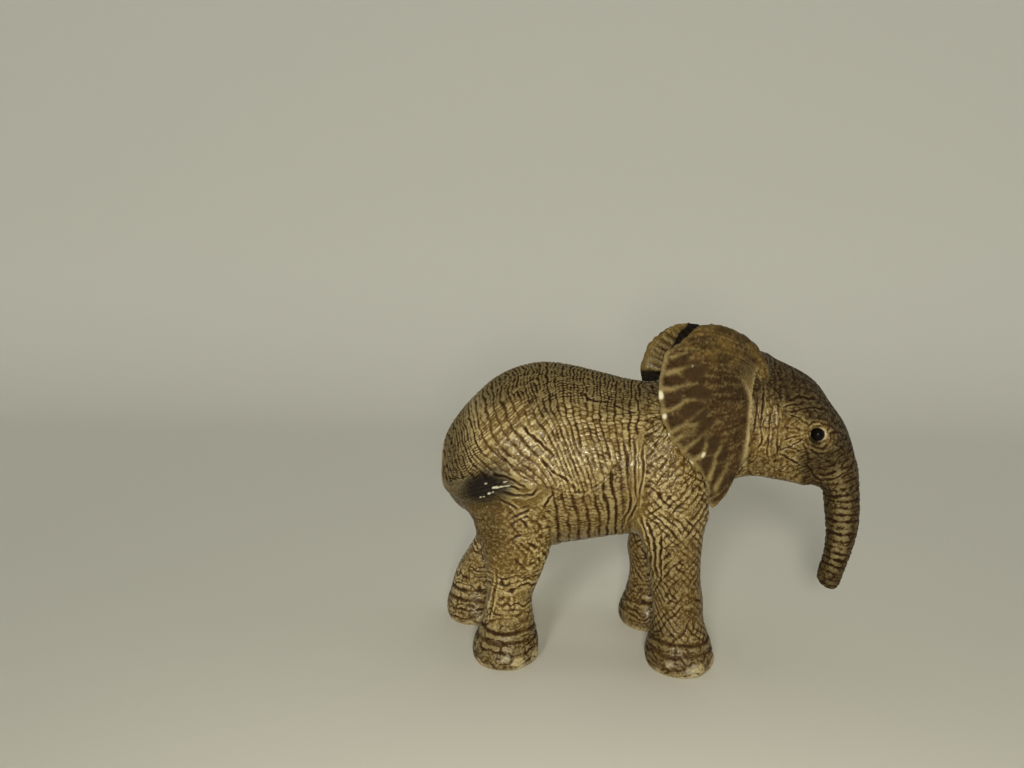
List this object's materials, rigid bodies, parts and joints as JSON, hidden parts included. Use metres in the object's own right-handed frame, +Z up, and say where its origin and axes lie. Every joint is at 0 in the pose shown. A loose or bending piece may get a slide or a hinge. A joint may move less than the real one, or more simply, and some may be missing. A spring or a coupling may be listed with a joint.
{
  "type": "toy animal figure",
  "caption": "Standing elephant calf figure with cupped ears, hanging trunk and a tail curled on to one thigh.",
  "frame": {"origin": "on the plane of the soles, under the middle of the figure's bounding box", "axes": "+X where the calf faces, +Y its left side, +Z up"},
  "size_m": [0.087, 0.0378, 0.0689],
  "materials": {
    "painted_skin": "hand-painted semi-gloss soft plastic",
    "painted_ear": "hand-painted semi-gloss soft plastic, dark brown with pale veins",
    "painted_tail": "hand-painted semi-gloss soft plastic, black tuft",
    "gloss_black": "glossy lacquer"
  },
  "bodies": {
    "root": {"body": "painted_skin", "head": "painted_skin", "ear_right": "painted_ear", "ear_left": "painted_ear", "tail": "painted_tail", "eye_right": "gloss_black", "eye_left": "gloss_black"}
  },
  "joints": []
}
